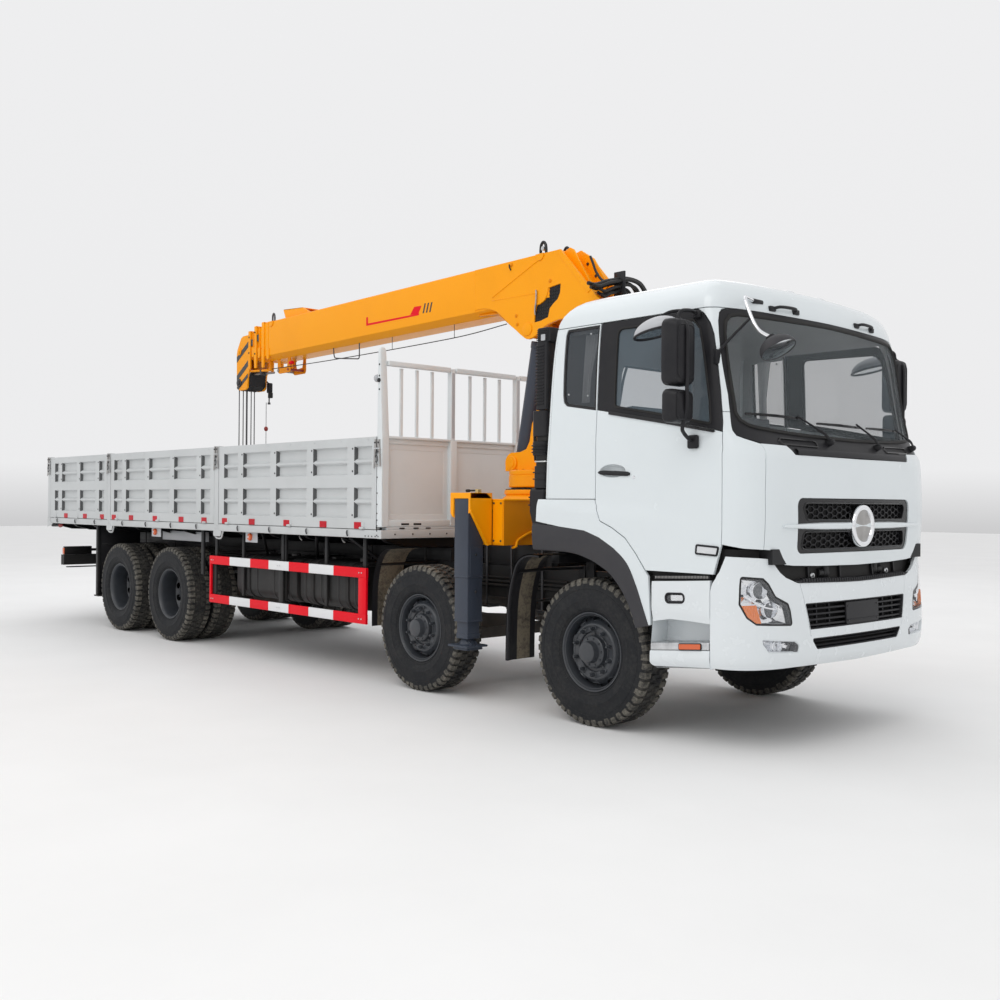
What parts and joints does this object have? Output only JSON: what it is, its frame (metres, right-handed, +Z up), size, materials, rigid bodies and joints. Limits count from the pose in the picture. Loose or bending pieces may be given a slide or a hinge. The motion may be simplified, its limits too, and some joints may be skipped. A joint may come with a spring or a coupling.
{
  "type": "truck-mounted crane",
  "caption": "Cab-over flat-bed truck with a slewing telescopic boom crane and outrigger jacks between its cab and its drop-side bed.",
  "frame": {"origin": "on the ground, halfway along and across the vehicle's bounding box", "axes": "+X forward along the truck, +Y to its left, +Z up"},
  "size_m": [11.712, 3.06, 3.8369],
  "materials": {
    "frame_black": "satin",
    "cab_white": "gloss",
    "boom_yellow": "gloss",
    "jack_grey": "satin",
    "bed_paint": "satin",
    "glass": "polished",
    "grille_black": "satin",
    "seat_fabric": "matte",
    "tyre": "matte",
    "rim_grey": "satin",
    "cast_iron": "matte",
    "tank_grey": "satin",
    "rod_chrome": "polished",
    "rope_steel": "satin",
    "engine_grey": "matte",
    "guard_white": "gloss"
  },
  "bodies": {
    "chassis": {"chassis_frame": "frame_black", "load_bed": "bed_paint", "headboard": "bed_paint", "drivetrain": "engine_grey", "axles": "cast_iron", "leaf_springs": "cast_iron", "chassis_tanks": "tank_grey", "side_guards": "guard_white", "mudguards": "frame_black", "front_bumper": "cab_white", "crane_base": "boom_yellow", "air_intake": "grille_black"},
    "cab": {"cab_shell": "cab_white", "cab_glass": "glass", "grille_panel": "grille_black", "cab_interior": "seat_fabric"},
    "door_right": {"door_right": "cab_white", "mirror_right": "grille_black"},
    "door_left": {"door_left": "cab_white", "mirror_left": "grille_black"},
    "knuckle_1_right": {"knuckle_1_right": "cast_iron"},
    "knuckle_1_left": {"knuckle_1_left": "cast_iron"},
    "knuckle_2_right": {"knuckle_2_right": "cast_iron"},
    "knuckle_2_left": {"knuckle_2_left": "cast_iron"},
    "wheel_1_right": {"tyre_1_right": "tyre", "wheel_1_right": "rim_grey"},
    "wheel_1_left": {"tyre_1_left": "tyre", "wheel_1_left": "rim_grey"},
    "wheel_2_right": {"tyre_2_right": "tyre", "wheel_2_right": "rim_grey"},
    "wheel_2_left": {"tyre_2_left": "tyre", "wheel_2_left": "rim_grey"},
    "wheel_3_right": {"tyre_3_right": "tyre", "wheel_3_right": "rim_grey"},
    "wheel_3_left": {"tyre_3_left": "tyre", "wheel_3_left": "rim_grey"},
    "wheel_4_right": {"tyre_4_right": "tyre", "wheel_4_right": "rim_grey"},
    "wheel_4_left": {"tyre_4_left": "tyre", "wheel_4_left": "rim_grey"},
    "side_right_rear": {"drop_side_right_rear": "bed_paint"},
    "side_right_middle": {"drop_side_right_middle": "bed_paint"},
    "side_right_front": {"drop_side_right_front": "bed_paint"},
    "side_left_rear": {"drop_side_left_rear": "bed_paint"},
    "side_left_middle": {"drop_side_left_middle": "bed_paint"},
    "side_left_front": {"drop_side_left_front": "bed_paint"},
    "tailgate": {"tailgate": "bed_paint"},
    "slew": {"slew_column": "boom_yellow"},
    "boom": {"boom_base": "boom_yellow"},
    "boom_2": {"boom_section_2": "boom_yellow"},
    "boom_3": {"boom_section_3": "boom_yellow"},
    "boom_4": {"boom_head": "boom_yellow"},
    "cylinder": {"lift_cylinder_barrel": "boom_yellow"},
    "cylinder_rod": {"lift_cylinder_rod": "rod_chrome"},
    "rope": {"hoist_ropes": "rope_steel"},
    "hook": {"hook_block": "boom_yellow"},
    "outrigger_right": {"outrigger_beam_right": "jack_grey"},
    "jack_right": {"jack_leg_right": "jack_grey"},
    "outrigger_left": {"outrigger_beam_left": "jack_grey"},
    "jack_left": {"jack_leg_left": "jack_grey"}
  },
  "joints": [
    {"name": "steer_1_right", "type": "hinge", "parent": "chassis", "child": "knuckle_1_right", "pos_m": [4.345, -0.79, 0.541], "axis": [0, 0, 1], "range_deg": [-36, 36]},
    {"name": "steer_1_left", "type": "hinge", "parent": "chassis", "child": "knuckle_1_left", "pos_m": [4.345, 0.79, 0.541], "axis": [0, 0, 1], "range_deg": [-36, 36]},
    {"name": "steer_2_right", "type": "hinge", "parent": "chassis", "child": "knuckle_2_right", "pos_m": [2.345, -0.79, 0.541], "axis": [0, 0, 1], "range_deg": [-26, 26]},
    {"name": "steer_2_left", "type": "hinge", "parent": "chassis", "child": "knuckle_2_left", "pos_m": [2.345, 0.79, 0.541], "axis": [0, 0, 1], "range_deg": [-26, 26]},
    {"name": "wheel_spin_1_right", "type": "hinge", "parent": "knuckle_1_right", "child": "wheel_1_right", "pos_m": [4.345, -1.02, 0.541], "axis": [0, 1, 0], "continuous": true},
    {"name": "wheel_spin_1_left", "type": "hinge", "parent": "knuckle_1_left", "child": "wheel_1_left", "pos_m": [4.345, 1.02, 0.541], "axis": [0, 1, 0], "continuous": true},
    {"name": "wheel_spin_2_right", "type": "hinge", "parent": "knuckle_2_right", "child": "wheel_2_right", "pos_m": [2.345, -1.02, 0.541], "axis": [0, 1, 0], "continuous": true},
    {"name": "wheel_spin_2_left", "type": "hinge", "parent": "knuckle_2_left", "child": "wheel_2_left", "pos_m": [2.345, 1.02, 0.541], "axis": [0, 1, 0], "continuous": true},
    {"name": "wheel_spin_3_right", "type": "hinge", "parent": "chassis", "child": "wheel_3_right", "pos_m": [-2.205, -0.9265, 0.541], "axis": [0, 1, 0], "continuous": true},
    {"name": "wheel_spin_3_left", "type": "hinge", "parent": "chassis", "child": "wheel_3_left", "pos_m": [-2.205, 0.9265, 0.541], "axis": [0, 1, 0], "continuous": true},
    {"name": "wheel_spin_4_right", "type": "hinge", "parent": "chassis", "child": "wheel_4_right", "pos_m": [-3.555, -0.9265, 0.541], "axis": [0, 1, 0], "continuous": true},
    {"name": "wheel_spin_4_left", "type": "hinge", "parent": "chassis", "child": "wheel_4_left", "pos_m": [-3.555, 0.9265, 0.541], "axis": [0, 1, 0], "continuous": true},
    {"name": "cab_tilt", "type": "hinge", "parent": "chassis", "child": "cab", "pos_m": [5.745, 0, 1.16], "axis": [0, 1, 0], "range_deg": [0, 45]},
    {"name": "door_hinge_right", "type": "hinge", "parent": "cab", "child": "door_right", "pos_m": [5.524, -1.249, 1.6], "axis": [0, 0, 1], "range_deg": [0, 70]},
    {"name": "door_hinge_left", "type": "hinge", "parent": "cab", "child": "door_left", "pos_m": [5.524, 1.249, 1.6], "axis": [0, 0, -1], "range_deg": [0, 70]},
    {"name": "side_hinge_right_rear", "type": "hinge", "parent": "chassis", "child": "side_right_rear", "pos_m": [0, -1.262, 1.385], "axis": [1, 0, 0], "range_deg": [0, 180]},
    {"name": "side_hinge_right_middle", "type": "hinge", "parent": "chassis", "child": "side_right_middle", "pos_m": [0, -1.262, 1.385], "axis": [1, 0, 0], "range_deg": [0, 180]},
    {"name": "side_hinge_right_front", "type": "hinge", "parent": "chassis", "child": "side_right_front", "pos_m": [0, -1.262, 1.385], "axis": [1, 0, 0], "range_deg": [0, 180]},
    {"name": "side_hinge_left_rear", "type": "hinge", "parent": "chassis", "child": "side_left_rear", "pos_m": [0, 1.262, 1.385], "axis": [-1, 0, 0], "range_deg": [0, 180]},
    {"name": "side_hinge_left_middle", "type": "hinge", "parent": "chassis", "child": "side_left_middle", "pos_m": [0, 1.262, 1.385], "axis": [-1, 0, 0], "range_deg": [0, 180]},
    {"name": "side_hinge_left_front", "type": "hinge", "parent": "chassis", "child": "side_left_front", "pos_m": [0, 1.262, 1.385], "axis": [-1, 0, 0], "range_deg": [0, 180]},
    {"name": "tailgate_hinge", "type": "hinge", "parent": "chassis", "child": "tailgate", "pos_m": [-5.857, 0, 1.385], "axis": [0, -1, 0], "range_deg": [0, 180]},
    {"name": "slew", "type": "hinge", "parent": "chassis", "child": "slew", "pos_m": [2.795, 0, 1.8], "axis": [0, 0, 1], "continuous": true},
    {"name": "boom_lift", "type": "hinge", "parent": "slew", "child": "boom", "pos_m": [3.475, 0, 3.2], "axis": [0, 1, 0], "range_deg": [0, 78]},
    {"name": "telescope_2", "type": "slide", "parent": "boom", "child": "boom_2", "axis": [-0.9999, 0, -0.0157], "range_m": [0, 2.65]},
    {"name": "telescope_3", "type": "slide", "parent": "boom_2", "child": "boom_3", "axis": [-0.9999, 0, -0.0157], "range_m": [0, 2.65]},
    {"name": "telescope_4", "type": "slide", "parent": "boom_3", "child": "boom_4", "axis": [-0.9999, 0, -0.0157], "range_m": [0, 2.65]},
    {"name": "cylinder_swing", "type": "hinge", "parent": "slew", "child": "cylinder", "pos_m": [2.455, 0, 1.985], "axis": [0, 1, 0], "range_deg": [-1, 25]},
    {"name": "cylinder_stroke", "type": "slide", "parent": "cylinder", "child": "cylinder_rod", "axis": [0.1886, 0, 0.9821], "range_m": [0, 1]},
    {"name": "rope_swing", "type": "hinge", "parent": "boom_4", "child": "rope", "pos_m": [-2.5441, 0, 3.0954], "axis": [0, 1, 0], "range_deg": [-80, 0]},
    {"name": "hoist", "type": "slide", "parent": "rope", "child": "hook", "axis": [0, 0, 1], "range_m": [0, 0.6], "deforming": ["hoist_ropes"]},
    {"name": "outrigger_slide_right", "type": "slide", "parent": "chassis", "child": "outrigger_right", "axis": [0, -1, 0], "range_m": [0, 1.5]},
    {"name": "jack_right", "type": "slide", "parent": "outrigger_right", "child": "jack_right", "axis": [0, 0, -1], "range_m": [0, 0.42]},
    {"name": "outrigger_slide_left", "type": "slide", "parent": "chassis", "child": "outrigger_left", "axis": [0, 1, 0], "range_m": [0, 1.5]},
    {"name": "jack_left", "type": "slide", "parent": "outrigger_left", "child": "jack_left", "axis": [0, 0, -1], "range_m": [0, 0.42]}
  ],
  "couplings": [
    {"joint": "steer_2_right", "follows": "steer_1_right", "ratio": 0.7},
    {"joint": "steer_1_left", "follows": "steer_1_right", "ratio": 1},
    {"joint": "steer_2_left", "follows": "steer_1_right", "ratio": 0.7},
    {"joint": "telescope_3", "follows": "telescope_2", "ratio": 1},
    {"joint": "telescope_4", "follows": "telescope_2", "ratio": 1},
    {"joint": "cylinder_swing", "follows": "boom_lift", "ratio": 0.145},
    {"joint": "cylinder_stroke", "follows": "boom_lift", "m_per_rad": 0.695},
    {"joint": "rope_swing", "follows": "boom_lift", "ratio": -1}
  ]
}
